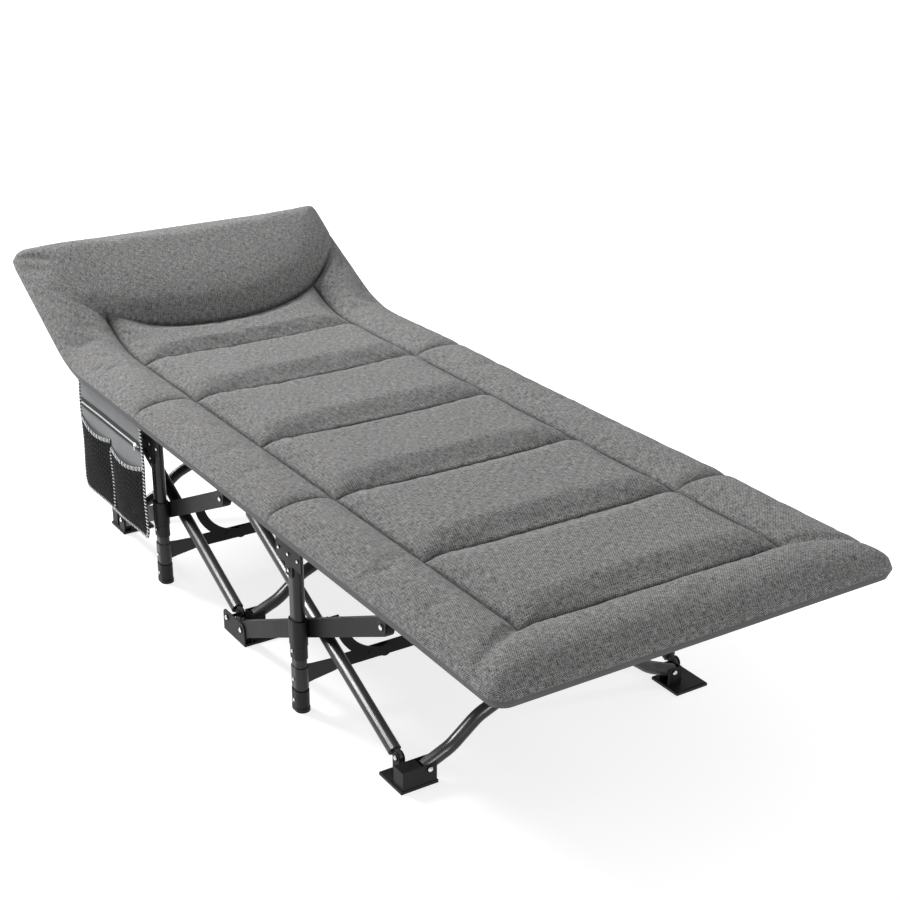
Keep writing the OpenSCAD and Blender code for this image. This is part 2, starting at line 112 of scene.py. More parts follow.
class Shader:
    """A node material. add() makes a node, and inputs given by name or number are linked or set."""

    def __init__(self, name):
        self.material = bpy.data.materials.new(name)
        self.material.use_nodes = True
        self.tree = self.material.node_tree
        self.surface = self.tree.nodes["Principled BSDF"]

    def put(self, socket, value):
        if isinstance(value, bpy.types.NodeSocket):
            self.tree.links.new(value, socket)
        else:
            socket.default_value = value

    def add(self, kind, inputs=None, output=0, **settings):
        node = self.tree.nodes.new("ShaderNode" + kind)
        for key, value in settings.items():
            setattr(node, key, value)
        for key, value in (inputs or {}).items():
            self.put(node.inputs[key], value)
        return node.outputs[output]

    def maths(self, operation, a, b=0.0):
        return self.add("Math", {0: a, 1: b}, operation=operation)

    def scaled(self, vector, scale):
        return self.add("VectorMath", {0: vector, 1: scale}, operation="MULTIPLY")

    def noise(self, vector, scale, detail=2.0, rough=0.5):
        inputs = {"Vector": vector, "Scale": scale, "Detail": detail, "Roughness": rough}
        return self.add("TexNoise", inputs)

    def waves(self, vector, scale, axis):
        return self.add("TexWave", {"Vector": vector, "Scale": scale}, output=1, bands_direction=axis,
                        wave_profile="SIN")

    def span(self, value, low, high, to_low=0.0, to_high=1.0):
        return self.add("MapRange", {0: value, 1: low, 2: high, 3: to_low, 4: to_high})

    def mix_colour(self, amount, a, b):
        node = self.tree.nodes.new("ShaderNodeMix")
        node.data_type = "RGBA"
        for index, value in ((0, amount), (6, a), (7, b)):
            self.put(node.inputs[index], value)
        return node.outputs[2]

    def finish(self, colour, roughness, bump=None, strength=0.3, distance=0.001, **sockets):
        self.put(self.surface.inputs["Base Color"], colour)
        self.put(self.surface.inputs["Roughness"], roughness)
        if bump is not None:
            normal = self.add("Bump", {"Height": bump, "Strength": strength, "Distance": distance})
            self.put(self.surface.inputs["Normal"], normal)
        for name, value in sockets.items():
            self.put(self.surface.inputs[name.replace("_", " ")], value)
        return self.material


def grey(value, tint=0.0):
    """A neutral grey, a little bluer with a positive tint."""
    return (value * (1 - tint), value, value * (1 + tint), 1.0)


def linen():
    """Linen look: light yarns one way over dark yarns the other, each uneven along its length, with painted
    shade darkening it in the bottom of each seam.
    """
    s = Shader("bed_fabric")
    at = s.add("Attribute", output=1, attribute_name="cloth")
    warp = s.noise(s.scaled(at, (90.0, 420.0, 300.0)), 1.0, 2.0, 0.55)
    weft = s.noise(s.scaled(at, (420.0, 90.0, 300.0)), 1.0, 2.0, 0.55)
    waves = [s.waves(at, 92.0, axis) for axis in ("X", "Y")]
    phases = [s.maths("SUBTRACT", wave, 0.5) for wave in waves]
    over = s.span(s.maths("MULTIPLY", *phases), -0.10, 0.10)
    light = s.span(warp, 0.3, 0.7, 0.3, 1.2)
    dark = s.span(weft, 0.3, 0.7, -0.2, 0.6)
    yarn = s.maths("ADD", s.maths("MULTIPLY", over, light),
                   s.maths("MULTIPLY", s.maths("SUBTRACT", 1.0, over), dark))
    blotch = s.noise(at, 9.0, 3.0, 0.6)
    tone = s.maths("ADD", yarn, s.maths("MULTIPLY", s.maths("SUBTRACT", blotch, 0.5), 0.10))
    # painted shade: the linen is darkened down to a quarter of its tone in the bottom of each seam
    seam_shade = s.add("Attribute", output=2, attribute_name="seam_shade")
    tone = s.maths("MULTIPLY", tone, s.span(seam_shade, 0.0, 1.0, 1.0, 0.25))
    colour = s.mix_colour(tone, grey(0.008, 0.01), grey(0.36, -0.012))
    height = s.maths("ADD", s.maths("MULTIPLY", waves[0], waves[1]), yarn)
    return s.finish(colour, 0.92, height, 0.6, 0.0011, Sheen_Weight=0.05, Sheen_Roughness=0.5,
                    Specular_IOR_Level=0.12)


def plain_weave(name, tone, tint=0.02, scale=1500.0, rough=0.7, contrast=0.18):
    """Tight woven polyester with fine threads and faint wrinkles."""
    s = Shader(name)
    at = s.add("Attribute", output=1, attribute_name="cloth")
    threads = s.maths(
        "ADD",
        s.noise(s.scaled(at, (scale, scale * 0.12, scale * 0.5)), 1.0, 1.0),
        s.noise(s.scaled(at, (scale * 0.12, scale, scale * 0.5)), 1.0, 1.0),
    )
    worn = s.noise(at, 14.0, 4.0, 0.6)
    mixed = s.maths("ADD", s.maths("MULTIPLY", threads, 0.35), s.maths("MULTIPLY", worn, 0.65))
    dark, light = (grey(tone * (1 + way * contrast), tint) for way in (-1, 1))
    colour = s.mix_colour(s.span(mixed, 0.4, 0.9), dark, light)
    height = s.maths("ADD", threads, s.maths("MULTIPLY", worn, 3.0))
    return s.finish(colour, rough, height, 0.35, 0.0007, Sheen_Weight=0.1, Specular_IOR_Level=0.25)


def netting():
    """Black knitted net: small round holes in staggered rows, through which the panel shows."""
    s = Shader("pocket_mesh")
    at = s.add("Attribute", output=1, attribute_name="cloth")
    rows = [s.waves(s.scaled(at, (1.0, way, 1.0)), 62.0, "DIAGONAL") for way in (1.0, -1.0)]
    hole = s.maths("MULTIPLY", rows[0], rows[1])
    solid = s.span(hole, 0.52, 0.42)
    yarn = s.noise(at, 900.0, 2.0, 0.6)
    colour = s.mix_colour(yarn, grey(0.003), grey(0.010))
    return s.finish(colour, 0.8, s.maths("SUBTRACT", yarn, hole), 0.5, 0.0008, Alpha=solid,
                    Specular_IOR_Level=0.12)


def ribbed_tape(name, tone, ribs=300.0):
    """Woven tape or elastic with ribs across it."""
    s = Shader(name)
    at = s.add("Attribute", output=1, attribute_name="cloth")
    rib = s.waves(at, ribs, "X")
    fibre = s.noise(s.scaled(at, (300.0, 2200.0, 2200.0)), 1.0, 2.0, 0.6)
    mixed = s.maths("ADD", s.maths("MULTIPLY", rib, 0.5), s.maths("MULTIPLY", fibre, 0.5))
    return s.finish(s.mix_colour(mixed, grey(tone * 0.6), grey(tone * 1.5)), 0.8, mixed, 0.5, 0.0006)


def thread(name, tone):
    """Twisted sewing thread."""
    s = Shader(name)
    at = s.add("TexCoord", output=3)
    twist = s.noise(s.scaled(at, (2600.0, 2600.0, 900.0)), 1.0, 2.0, 0.6)
    colour = s.mix_colour(twist, grey(tone * 0.75), grey(min(1.0, tone * 1.2)))
    return s.finish(colour, 0.7, twist, 0.4, 0.0003)


def powder_coat(name, tone, rough, shine, peel=420.0):
    """Black paint with fine orange peel, dusty patches and slightly brighter worn edges."""
    s = Shader(name)
    at = s.add("TexCoord", output=3)
    fine = s.noise(at, peel, 2.0)
    patches = s.noise(at, 16.0, 4.0, 0.65)
    edge = s.add("Bevel", {"Radius": 0.0025}, samples=4)
    true_normal = s.add("NewGeometry", output=1)
    facing = s.add("VectorMath", {0: edge, 1: true_normal}, operation="DOT_PRODUCT", output=1)
    wear = s.maths("MULTIPLY", s.span(facing, 0.97, 0.85), s.span(patches, 0.35, 0.7))
    base = s.mix_colour(s.span(patches, 0.3, 0.75), grey(tone * 0.8, 0.01), grey(tone * 1.35, 0.01))
    colour = s.mix_colour(s.maths("MULTIPLY", wear, 0.35), base, grey(tone * 4 + 0.03, 0.01))
    roughness = s.span(patches, 0.3, 0.8, rough - 0.06, rough + 0.12)
    return s.finish(colour, roughness, fine, 0.05, 0.0002, Specular_IOR_Level=shine)


def moulded(name, tone, rough=0.5):
    """Moulded black plastic with a fine spark texture and scuffs."""
    s = Shader(name)
    at = s.add("TexCoord", output=3)
    grain = s.noise(at, 1100.0, 2.0, 0.7)
    scuff = s.noise(s.scaled(at, (60.0, 60.0, 14.0)), 1.0, 5.0, 0.7)
    colour = s.mix_colour(s.span(scuff, 0.45, 0.8), grey(tone), grey(tone * 2.4))
    return s.finish(colour, s.span(scuff, 0.35, 0.8, rough - 0.05, rough + 0.2), grain, 0.2, 0.0004,
                    Specular_IOR_Level=0.25)


def bright_steel(name):
    """Zinc-plated steel with fine turning marks and a few dark specks."""
    s = Shader(name)
    at = s.add("TexCoord", output=3)
    marks = s.noise(at, 900.0, 3.0, 0.7)
    specks = s.noise(at, 260.0, 2.0, 0.5)
    colour = s.mix_colour(s.span(specks, 0.55, 0.75), grey(0.78), grey(0.4))
    return s.finish(colour, s.span(marks, 0.3, 0.7, 0.22, 0.42), marks, 0.15, 0.0002, Metallic=1.0)


def floor_paint():
    """Pale sweep that glows a little, so that shadows on it stay faint."""
    s = Shader("floor")
    at = s.add("TexCoord", output=3)
    soft = s.noise(at, 3.0, 3.0)
    return s.finish(s.mix_colour(soft, grey(0.45), grey(0.47)), 0.8, Specular_IOR_Level=0.1,
                    Emission_Color=grey(1.0), Emission_Strength=0.76)


# ---------------------------------------------------------------- mesh helpers


def unit(vectors):
    """The vectors at length 1."""
    vectors = np.asarray(vectors, float)
    return vectors / np.maximum(np.linalg.norm(vectors, axis=-1, keepdims=True), 1e-12)


def make_object(name, verts, faces, material=None, smooth=True):
    """A mesh object in the scene."""
    mesh = bpy.data.meshes.new(name)
    mesh.from_pydata(np.asarray(verts).tolist(), [], [tuple(int(i) for i in f) for f in faces])
    mesh.update()
    if smooth:
        mesh.shade_smooth()
    made = bpy.data.objects.new(name, mesh)
    if material:
        mesh.materials.append(material)
    bpy.context.scene.collection.objects.link(made)
    return made


def cloth_coordinates(piece, coords):
    """Keeps where each vertex lies on the flat cloth, which the weave follows."""
    layer = piece.data.attributes.new("cloth", "FLOAT_VECTOR", "POINT")
    layer.data.foreach_set("vector", np.asarray(coords, np.float32).ravel())


class Bits:
    """Closed bits of mesh collected into one piece, with flat cloth coordinates."""

    def __init__(self):
        self.verts, self.flat, self.faces, self.count = [], [], [], 0

    def add(self, verts, faces, flat=None):
        verts = np.asarray(verts, float).reshape(-1, 3)
        self.verts.append(verts)
        self.flat.append(verts if flat is None else np.asarray(flat, float).reshape(-1, 3))
        self.faces += [tuple(int(i) + self.count for i in face) for face in faces]
        self.count += len(verts)

    def make(self, name, material, smooth=True):
        made = make_object(name, np.concatenate(self.verts), self.faces, material, smooth)
        cloth_coordinates(made, np.concatenate(self.flat))
        if smooth:
            made.data.set_sharp_from_angle(angle=math.radians(50))
        return made


def grid_faces(rows, columns, flip=False):
    """Quads between the vertices of a grid."""
    i, j = np.meshgrid(np.arange(rows - 1), np.arange(columns - 1), indexing="ij")
    a = i * columns + j
    quads = np.stack([a, a + columns, a + columns + 1, a + 1], -1).reshape(-1, 4)
    return quads[:, ::-1] if flip else quads


def grid_outline(rows, columns):
    """Vertex numbers round a grid: up the first row's columns, and on clockwise."""
    return (list(range(columns)) + [r * columns + columns - 1 for r in range(1, rows)]
            + list(range(rows * columns - 2, (rows - 1) * columns - 1, -1))
            + [r * columns for r in range(rows - 2, 0, -1)])


def slab(points, offset):
    """Closed thin sheet: a grid of points, and the same grid moved by an offset behind it."""
    points = np.asarray(points, float)
    rows, columns = points.shape[:2]
    total = rows * columns
    around = grid_outline(rows, columns)
    rim = [(a, b, b + total, a + total) for a, b in zip(around, around[1:] + around[:1])]
    verts = np.concatenate([points.reshape(-1, 3), (points + offset).reshape(-1, 3)])
    return verts, [*grid_faces(rows, columns), *(grid_faces(rows, columns, flip=True) + total), *rim]


def tube(points, radii, up, sides=8):
    """Tube along points with capped ends. Its two radii are the one across and the one along up."""
    points = np.asarray(points, float)
    ahead = unit(np.gradient(points, axis=0))
    across = unit(np.cross(ahead, np.broadcast_to(np.asarray(up, float), points.shape)))
    upward = np.cross(across, ahead)
    turn = np.linspace(0, 2 * math.pi, sides, endpoint=False)
    rings = (points[:, None] + across[:, None] * (radii[0] * np.cos(turn))[None, :, None]
             + upward[:, None] * (radii[1] * np.sin(turn))[None, :, None])
    last = (len(points) - 1) * sides
    faces = []
    for a in range(0, last, sides):
        b = a + sides
        faces += [(a + j, b + j, b + (j + 1) % sides, a + (j + 1) % sides) for j in range(sides)]
    faces += [tuple(range(sides)), tuple(last + j for j in reversed(range(sides)))]
    return rings.reshape(-1, 3), faces


def run_length(path):
    """Distance along a path at each of its points."""
    return np.concatenate([[0], np.cumsum(np.linalg.norm(np.diff(path, axis=0), axis=1))])


def tube_flat(path, sides):
    """Cloth coordinates for a tube: along it in X, round it in Y."""
    along = np.repeat(run_length(path), sides)
    return np.stack([along, np.tile(np.arange(sides) * 0.001, len(path)), 0 * along], -1)


def sew(bits, path, up, pitch=0.0052, length=0.0037, radius=0.00045):
    """Thread dashes along a path, each bowed up out of the cloth in its middle."""
    path = np.asarray(path, float)
    ups = np.broadcast_to(np.asarray(up, float), path.shape)
    along = run_length(path)
    count = int(along[-1] // pitch)
    start = (along[-1] - count * pitch + pitch - length) / 2
    for k in range(count):
        at = start + k * pitch + length * np.array([0, 0.25, 0.75, 1])
        dash = np.stack([np.interp(at, along, path[:, axis]) for axis in range(3)], -1)
        lift = np.stack([np.interp(at, along, ups[:, axis]) for axis in range(3)], -1)
        dash = dash + lift * (radius * np.array([-0.7, 0.8, 0.8, -0.7]))[:, None]
        bits.add(*tube(dash, (radius, radius), lift, 5))


def dome(bits, at, out, radius):
    """Domed rivet head whose face looks along out."""
    out = unit(out)
    side = unit(np.cross(out, (0, 0, 1) if abs(out[2]) < 0.9 else (1, 0, 0)))
    other = np.cross(out, side)
    profile = [(1.04, -0.30), (1.04, -0.02), (0.97, 0.08), (0.80, 0.24), (0.55, 0.36), (0.28, 0.43)]
    turn = np.linspace(0, 2 * math.pi, 20, endpoint=False)
    circle = np.cos(turn)[:, None] * side + np.sin(turn)[:, None] * other
    rings = [np.asarray(at) + radius * (r * circle + h * out) for r, h in profile]
    sides = len(turn)
    faces = [(a + j, a + (j + 1) % sides, a + sides + (j + 1) % sides, a + sides + j)
             for a in range(0, sides * (len(profile) - 1), sides) for j in range(sides)]
    tip = sides * len(profile)
    faces += [(tip - sides + j, tip - sides + (j + 1) % sides, tip) for j in range(sides)]
    faces.append(tuple(reversed(range(sides))))
    if np.dot(np.cross(side, other), out) < 0:
        faces = [face[::-1] for face in faces]
    bits.add(np.concatenate([*rings, [np.asarray(at) + radius * 0.45 * out]]), faces)


def add_floor():
    """Floor far larger than the view."""
    size = 30.0
    floor = make_object("floor", [(-size, -size, 0), (size, -size, 0), (size, size, 0), (-size, size, 0)],
                        [(0, 1, 2, 3)], floor_paint(), smooth=False)


def attach(piece, body, squashed=None):
    """Rides a piece on a body, and gives the piece a mesh of its own if squashed is given."""
    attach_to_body(piece, body)
    if squashed:
        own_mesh(piece)


# ---------------------------------------------------------------- the padded bed

NEAR_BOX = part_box("mattress_near")
HALF_LENGTH = NEAR_BOX[1][0]
HALF_WIDTH = -NEAR_BOX[0][1]
UNDER_Z = NEAR_BOX[0][2]
KINK_X = -0.600
HEAD_SLOPE = math.radians(27)
HEAD_LENGTH = (HALF_LENGTH + KINK_X) / math.cos(HEAD_SLOPE)
HEAD_U = KINK_X - HEAD_LENGTH
KINK_R = 0.33
CORNER_R = 0.028
BAND = 0.12
SEAM_Y = 0.2355
CROSS_SEAMS = (0.781, 0.537, 0.273, 0.010, -0.2545, -0.496)
FOOT_SEAM = max(CROSS_SEAMS)
BORDER_SEAMS = {-1: (0.273, -0.2545), 1: (0.537, -0.2545)}
MITRE_END = (0.848, 0.352)
EDGE_W = 0.026
FOOT_EDGE_W = 0.021
SEAM_W = 0.033
CREST_W = 0.053
PILLOW_W = 0.026
PILLOW_START = 0.033
PILLOW_DEPTH = 0.26
PILLOW_HALF = 0.345
PILLOW_LINE = KINK_X - 0.12
BEND_START = KINK_X + 0.09
BEND_LIMIT = 0.25
CROSS_REACH, LONG_REACH, BORDER_REACH, ARC_REACH = 0.044, 0.046, 0.030, 0.040
BORDER_STRENGTH = 0.45
# width of the painted shade in the bottom of each seam
SEAM_SHADE_WIDE = 0.0035
FINE_STEP = 0.0060
BESIDE_SEAMS = (0.0016, 0.004, 0.0075)
SIM_STEP = 0.0100
SIM_FRAMES = 20
SIM_CAP = 0.006
STITCH_STEP = 0.004
HEM_INSET = 0.014
BED_SQUASH = (0.0, 0.19)


def grid_lines(knots, step, beside=()):
    """Grid lines through every knot, about a step apart, with extra ones close beside each knot."""
    lines = [knots[0]]
    for a, b in zip(knots, knots[1:]):
        reach = beside[-1] if beside and b - a > 0.03 else 0
        inner = np.linspace(a + reach, b - reach, max(2, round((b - a - 2 * reach) / step)) + 1)
        if reach:
            lines += [a + d for d in beside[:-1]]
            lines += list(inner)
            lines += [b - d for d in reversed(beside[:-1])] + [b]
        else:
            lines += list(inner[1:])
    return np.array(lines)


def bed_lines(step, beside=()):
    """Lines of the bed's grid along and across, in flat cloth places before the pillow's curve."""
    us = [HEAD_U, HEAD_U + 0.010, HEAD_U + 0.030, PILLOW_LINE, *sorted(CROSS_SEAMS),
          HALF_LENGTH - 0.030, HALF_LENGTH - 0.010, HALF_LENGTH]
    half = grid_lines([0, SEAM_Y, HALF_WIDTH - 0.030, HALF_WIDTH - 0.010, HALF_WIDTH], step, beside)
    return grid_lines(us, step, beside), np.concatenate([-half[::-1], half[1:]])


def smooth_step(value, low, high):
    """0 below low, 1 above high, and a smooth rise between."""
    t = np.clip((value - low) / (high - low), 0, 1)
    return t * t * (3 - 2 * t)


def pillow_edge(y):
    """Distance along the head section at which the pillow's curved lower edge lies."""
    across = np.clip(np.abs(y) / PILLOW_HALF, 0, 0.985)
    return PILLOW_START + PILLOW_DEPTH * (1 - np.sqrt(1 - across**2))


def lay_out(us, ys):
    """Flat places of the grid lines' crossings, bent to the pillow's edge and round the corners."""
    u, y = np.meshgrid(us, ys, indexing="ij")
    fold_to = KINK_X - np.minimum(pillow_edge(y), BEND_LIMIT)
    past_line = HEAD_U + (u - HEAD_U) * (fold_to - HEAD_U) / (PILLOW_LINE - HEAD_U)
    before_line = BEND_START + (u - BEND_START) * (fold_to - BEND_START) / (PILLOW_LINE - BEND_START)
    u = np.where(u < BEND_START, np.where(u < PILLOW_LINE, past_line, before_line), u)
    middle = (HEAD_U + HALF_LENGTH) / 2
    half_u = (HALF_LENGTH - HEAD_U) / 2
    px = (np.abs(u - middle) - (half_u - BAND)) / BAND
    py = (np.abs(y) - (HALF_WIDTH - BAND)) / BAND
    corner = (px > 0) & (py > 0)
    ring = np.maximum(px, py)
    rho = CORNER_R / BAND * np.clip(ring, 0, 1) ** 2
    q = np.minimum(px, py)
    bent = np.clip((q - (ring - rho)) / np.maximum(rho, 1e-6), 0, 1) * math.pi / 4
    major = np.where(q > ring - rho, ring - rho + rho * np.cos(bent), ring)
    minor = np.where(q > ring - rho, ring - rho + rho * np.sin(bent), q)
    reach_u = half_u - BAND + BAND * np.where(px >= py, major, minor)
    reach_y = HALF_WIDTH - BAND + BAND * np.where(px >= py, minor, major)
    u = np.where(corner, middle + np.sign(u - middle) * reach_u, u)
    y = np.where(corner, np.sign(y) * reach_y, y)
    return u, y


def edge_distance(u, y):
    """Distance in from the bed's rounded outline."""
    qx = np.abs(u - (HEAD_U + HALF_LENGTH) / 2) - ((HALF_LENGTH - HEAD_U) / 2 - CORNER_R)
    qy = np.abs(y) - (HALF_WIDTH - CORNER_R)
    outside = np.hypot(np.maximum(qx, 0), np.maximum(qy, 0)) + np.minimum(np.maximum(qx, qy), 0)
    return np.maximum(CORNER_R - outside, 0)


def plump(distance, reach, fullness=2.4):
    """0 at a seam, rising steeply and levelling off at reach."""
    t = np.clip(distance / reach, 0, 1)
    return (1 - (1 - t) ** fullness) ** 0.7


def nearest(u, lines):
    """Distance from each place to the nearest of the lines."""
    return np.abs(u[..., None] - np.array(lines)).min(-1)


def seams(u, y):
    """For each kind of seam: distance from it, how far its dip reaches, and how strong it is there."""
    inside = np.abs(y) <= SEAM_Y
    past = smooth_step(KINK_X - u - pillow_edge(y), -0.004, 0.012)
    to_cross = nearest(u, CROSS_SEAMS)
    beside = np.abs(y) - SEAM_Y
    to_long = np.where(u > FOOT_SEAM, np.hypot(u - FOOT_SEAM, beside), np.abs(beside))
    across = np.where(y < 0, nearest(u, BORDER_SEAMS[-1]), nearest(u, BORDER_SEAMS[1]))
    fade = 1 - np.where(y < 0, smooth_step(-y, 0.12, 0.24), smooth_step(y, 0.25, 0.335))
    arc = np.abs(KINK_X - u - pillow_edge(y))
    return [
        (to_cross, CROSS_REACH, np.where(inside, 1 - past, 0)),
        (to_long, LONG_REACH, np.where(inside & (u > FOOT_SEAM), 0, 1 - past)),
        (across, BORDER_REACH, np.where(inside, 0, BORDER_STRENGTH * (1 - past))),
        (arc, ARC_REACH, fade),
    ]


def mitre_dip(u, y):
    """Soft fold from each inner corner at the foot out towards the bed's corner, 0 to 1 deep."""
    start = np.array([FOOT_SEAM, SEAM_Y])
    way = np.array(MITRE_END) - start
    t = np.clip(((u - start[0]) * way[0] + (np.abs(y) - start[1]) * way[1]) / way.dot(way), 0, 1)
    away = np.hypot(u - start[0] - t * way[0], np.abs(y) - start[1] - t * way[1])
    return np.exp(-((away / 0.011) ** 2)) * (0.55 - 0.3 * t)


def top_height(u, y):
    """Height of the padded top above the underside plane, before the cloth is simulated."""
    raised = np.ones_like(u)
    for distance, reach, strength in seams(u, y):
        raised = raised * (1 - strength * (1 - plump(distance, reach)))
    raised = raised * (1 - mitre_dip(u, y))
    over = np.maximum(KINK_X - u - pillow_edge(y), 0)
    soft = smooth_step(-y, 0.17, 0.30)
    crisp = plump(over, 0.15, 2.2)
    mound = crisp + (smooth_step(over, -0.02, 0.26) - crisp) * soft
    height = SEAM_W + (CREST_W - SEAM_W) * raised + PILLOW_W * mound
    low = edge_height(u)
    nose = np.sqrt(np.clip(1 - (1 - np.clip(edge_distance(u, y) / 0.074, 0, 1)) ** 2.3, 0, 1))
    return low + (height - low) * nose


def edge_height(u):
    """Height of the edge seam above the bed's underside plane, lower at the foot end."""
    return EDGE_W + (FOOT_EDGE_W - EDGE_W) * np.clip((u - (HALF_LENGTH - 0.20)) / 0.16, 0, 1)


def under_height(u, y):
    """Height of the smooth underside, which turns up to meet the edge seam."""
    d = edge_distance(u, y)
    low = edge_height(u)
    lift = 0.45 * low * np.clip(1 - d / 0.055, 0, 1) ** 1.6
    strip = np.clip(1 - d / 0.006, 0, 1)
    return lift + (low - lift) * (1 - np.sqrt(np.clip(1 - strip**2, 0, 1)))


def bend_head(u, y, w):
    """Turns flat places into real ones: the head section rises beyond the kink in a soft bend."""
    tangent = KINK_R * math.tan(HEAD_SLOPE / 2)
    past = np.clip((KINK_X + tangent - u) / (KINK_R * HEAD_SLOPE), 0, 1)
    angle = past * HEAD_SLOPE
    x = np.where(past > 0, KINK_X + tangent - KINK_R * np.sin(angle), u)
    z = KINK_R * (1 - np.cos(angle))
    rest = np.maximum(KINK_X + tangent - KINK_R * HEAD_SLOPE - u, 0)
    x = x - rest * math.cos(HEAD_SLOPE) + w * np.sin(angle)
    z = z + rest * math.sin(HEAD_SLOPE) + w * np.cos(angle)
    return np.stack([x, y + 0 * x, UNDER_Z + z], -1)


def puckers(u, y):
    """Small gathers that run out from the seams, a millimetre high."""
    bump = np.zeros_like(u)
    for number, (distance, _, strength) in enumerate(seams(u, y)):
        along = y if number in (0, 3) else u
        wave = (np.sin(along * 190 + 3 * np.sin(along * 31 + number))
                * (0.6 + 0.4 * np.sin(along * 57 + 1.7 * number)))
        bump += strength * wave * (distance / 0.010) * np.exp(1 - distance / 0.010)
    return 0.0006 * bump * smooth_step(edge_distance(u, y), 0.004, 0.02)


def seam_shade_mask(u, y):
    """Painted shade in the seams: 1 in the bottom of a sewn seam, falling to 0 a few millimetres away."""
    seam_shade_levels = [strength * np.exp(-((distance / SEAM_SHADE_WIDE) ** 2)) for distance, _, strength in seams(u, y)]
    return np.max(seam_shade_levels, axis=0)


def still(u, y):
    """1 where the cloth may move freely, 0 on the seams and along the edge."""
    free = smooth_step(edge_distance(u, y), 0, 0.022)
    for distance, _, strength in seams(u, y):
        free = free * (1 - strength * (1 - smooth_step(distance, 0, 0.012)))
    return free


def simulate_top(us, ys):
    """Blows the top cloth up between its sewn lines on a coarse grid, and returns how far it moved."""
    u, y = lay_out(us, ys)
    w = top_height(u, y)
    rows, columns = u.shape
    verts = np.stack([u, y, w], -1).reshape(-1, 3)
    sheet = make_object("sim_top", verts, grid_faces(rows, columns))
    sewn = edge_distance(u, y) < 1e-5
    for distance, _, strength in seams(u, y):
        sewn |= (distance < 1e-4) & (strength > 0.7)
    sheet.vertex_groups.new(name="sewn").add([int(i) for i in np.flatnonzero(sewn.ravel())], 1.0, "REPLACE")
    modifier = sheet.modifiers.new("cloth", "CLOTH")
    cloth = modifier.settings
    cloth.quality = 5
    cloth.mass = 0.2
    cloth.tension_stiffness = 20
    cloth.compression_stiffness = 20
    cloth.shear_stiffness = 8
    cloth.bending_stiffness = 0.8
    cloth.vertex_group_mass = "sewn"
    cloth.shrink_min = -0.010
    cloth.use_pressure = True
    cloth.uniform_pressure_force = 3.0
    cloth.effector_weights.gravity = 0
    modifier.collision_settings.use_collision = False
    scene = bpy.context.scene
    modifier.point_cache.frame_start = 1
    modifier.point_cache.frame_end = SIM_FRAMES
    for number in range(1, SIM_FRAMES + 1):
        scene.frame_set(number)
    made = sheet.evaluated_get(bpy.context.evaluated_depsgraph_get())
    moved = np.empty(len(verts) * 3)
    made.data.vertices.foreach_get("co", moved)
    scene.frame_set(1)
    bpy.data.objects.remove(sheet)
    step = moved.reshape(-1, 3) - verts
    size = np.linalg.norm(step, axis=1, keepdims=True)
    step *= np.minimum(1, SIM_CAP / np.maximum(size, 1e-9))
    return step.reshape(rows, columns, 3)


def resample(field, us, ys, new_us, new_ys):
    """The field from one grid of lines onto another."""
    rows = np.stack([np.interp(new_us, us, field[:, j]) for j in range(len(ys))], 1)
    return np.stack([np.interp(new_ys, ys, row) for row in rows])


def grid_normals(points):
    """Smooth normal at each crossing of a grid, from the faces round it."""
    rows, columns = points.shape[:2]
    verts = points.reshape(-1, 3)
    quads = grid_faces(rows, columns)
    across = np.cross(verts[quads[:, 2]] - verts[quads[:, 0]], verts[quads[:, 3]] - verts[quads[:, 1]])
    total = np.zeros_like(verts)
    for corner in range(4):
        np.add.at(total, quads[:, corner], across)
    return unit(total).reshape(points.shape)


def bed_half(side, flat, seam_shade, top, under, top_normals, under_normals, materials):
    """One closed half of the bed. The top and the underside share the edge seam's vertices."""
    rows, columns = top.shape[:2]
    total = rows * columns
    number = np.arange(total).reshape(rows, columns)
    below = np.full((rows, columns), -1)
    middle = columns - 1 if side == "near" else 0
    outer = np.zeros((rows, columns), bool)
    outer[0, :] = outer[-1, :] = True
    outer[:, 0 if side == "near" else -1] = True
    below[outer] = number[outer]
    below[~outer] = total + np.arange((~outer).sum())
    faces_top = grid_faces(rows, columns)
    faces_under = below.ravel()[grid_faces(rows, columns, flip=True)]
    seam = number[:, middle]
    seam_below = below[:, middle]
    wall = []
    for a, b in zip(range(rows - 1), range(1, rows)):
        ring = [seam[a], seam[b], seam_below[b], seam_below[a]]
        ring = list(dict.fromkeys(int(i) for i in ring))
        wall.append(ring if side == "near" else ring[::-1])
    verts = np.concatenate([top.reshape(-1, 3), under[~outer]])
    bed = make_object("bed_" + side, verts, [*faces_top, *faces_under, *wall])
    cloth_coordinates(bed, np.concatenate([flat.reshape(-1, 3), flat[~outer]]))
    # painted shade in the seams, on the top's vertices only; the underside gets none
    seam_shade_layer = bed.data.attributes.new("seam_shade", "FLOAT", "POINT")
    seam_shade_layer.data.foreach_set("value", np.concatenate([seam_shade.ravel(), 0 * seam_shade[~outer]]).astype(np.float32))
    for material in materials:
        bed.data.materials.append(material)
    slots = np.zeros(len(bed.data.polygons), np.int32)
    slots[len(faces_top):] = 1
    bed.data.polygons.foreach_set("material_index", slots)
    out = np.array([0.0, 1.0 if side == "near" else -1.0, 0.0])
    wall_loops = sum(len(ring) for ring in wall)
    normals = np.concatenate([
        top_normals.reshape(-1, 3)[faces_top.ravel()],
        under_normals.reshape(-1, 3)[grid_faces(rows, columns, flip=True).ravel()],
        np.broadcast_to(out, (wall_loops, 3)),
    ])
    bed.data.normals_split_custom_set(normals.tolist())
    return bed


def cloth_places(top, u, y):
    """Where each crossing lies on the unsewn cloth, with the extra length that its waves take up."""
    found = []
    for axis, plain in ((0, u), (1, y)):
        run = np.linalg.norm(np.diff(top, axis=axis, prepend=np.take(top, [0], axis)), axis=-1).cumsum(axis)
        found.append(plain + (run - plain).mean(1 - axis, keepdims=True))
    return np.stack([*found, 0 * u], -1)


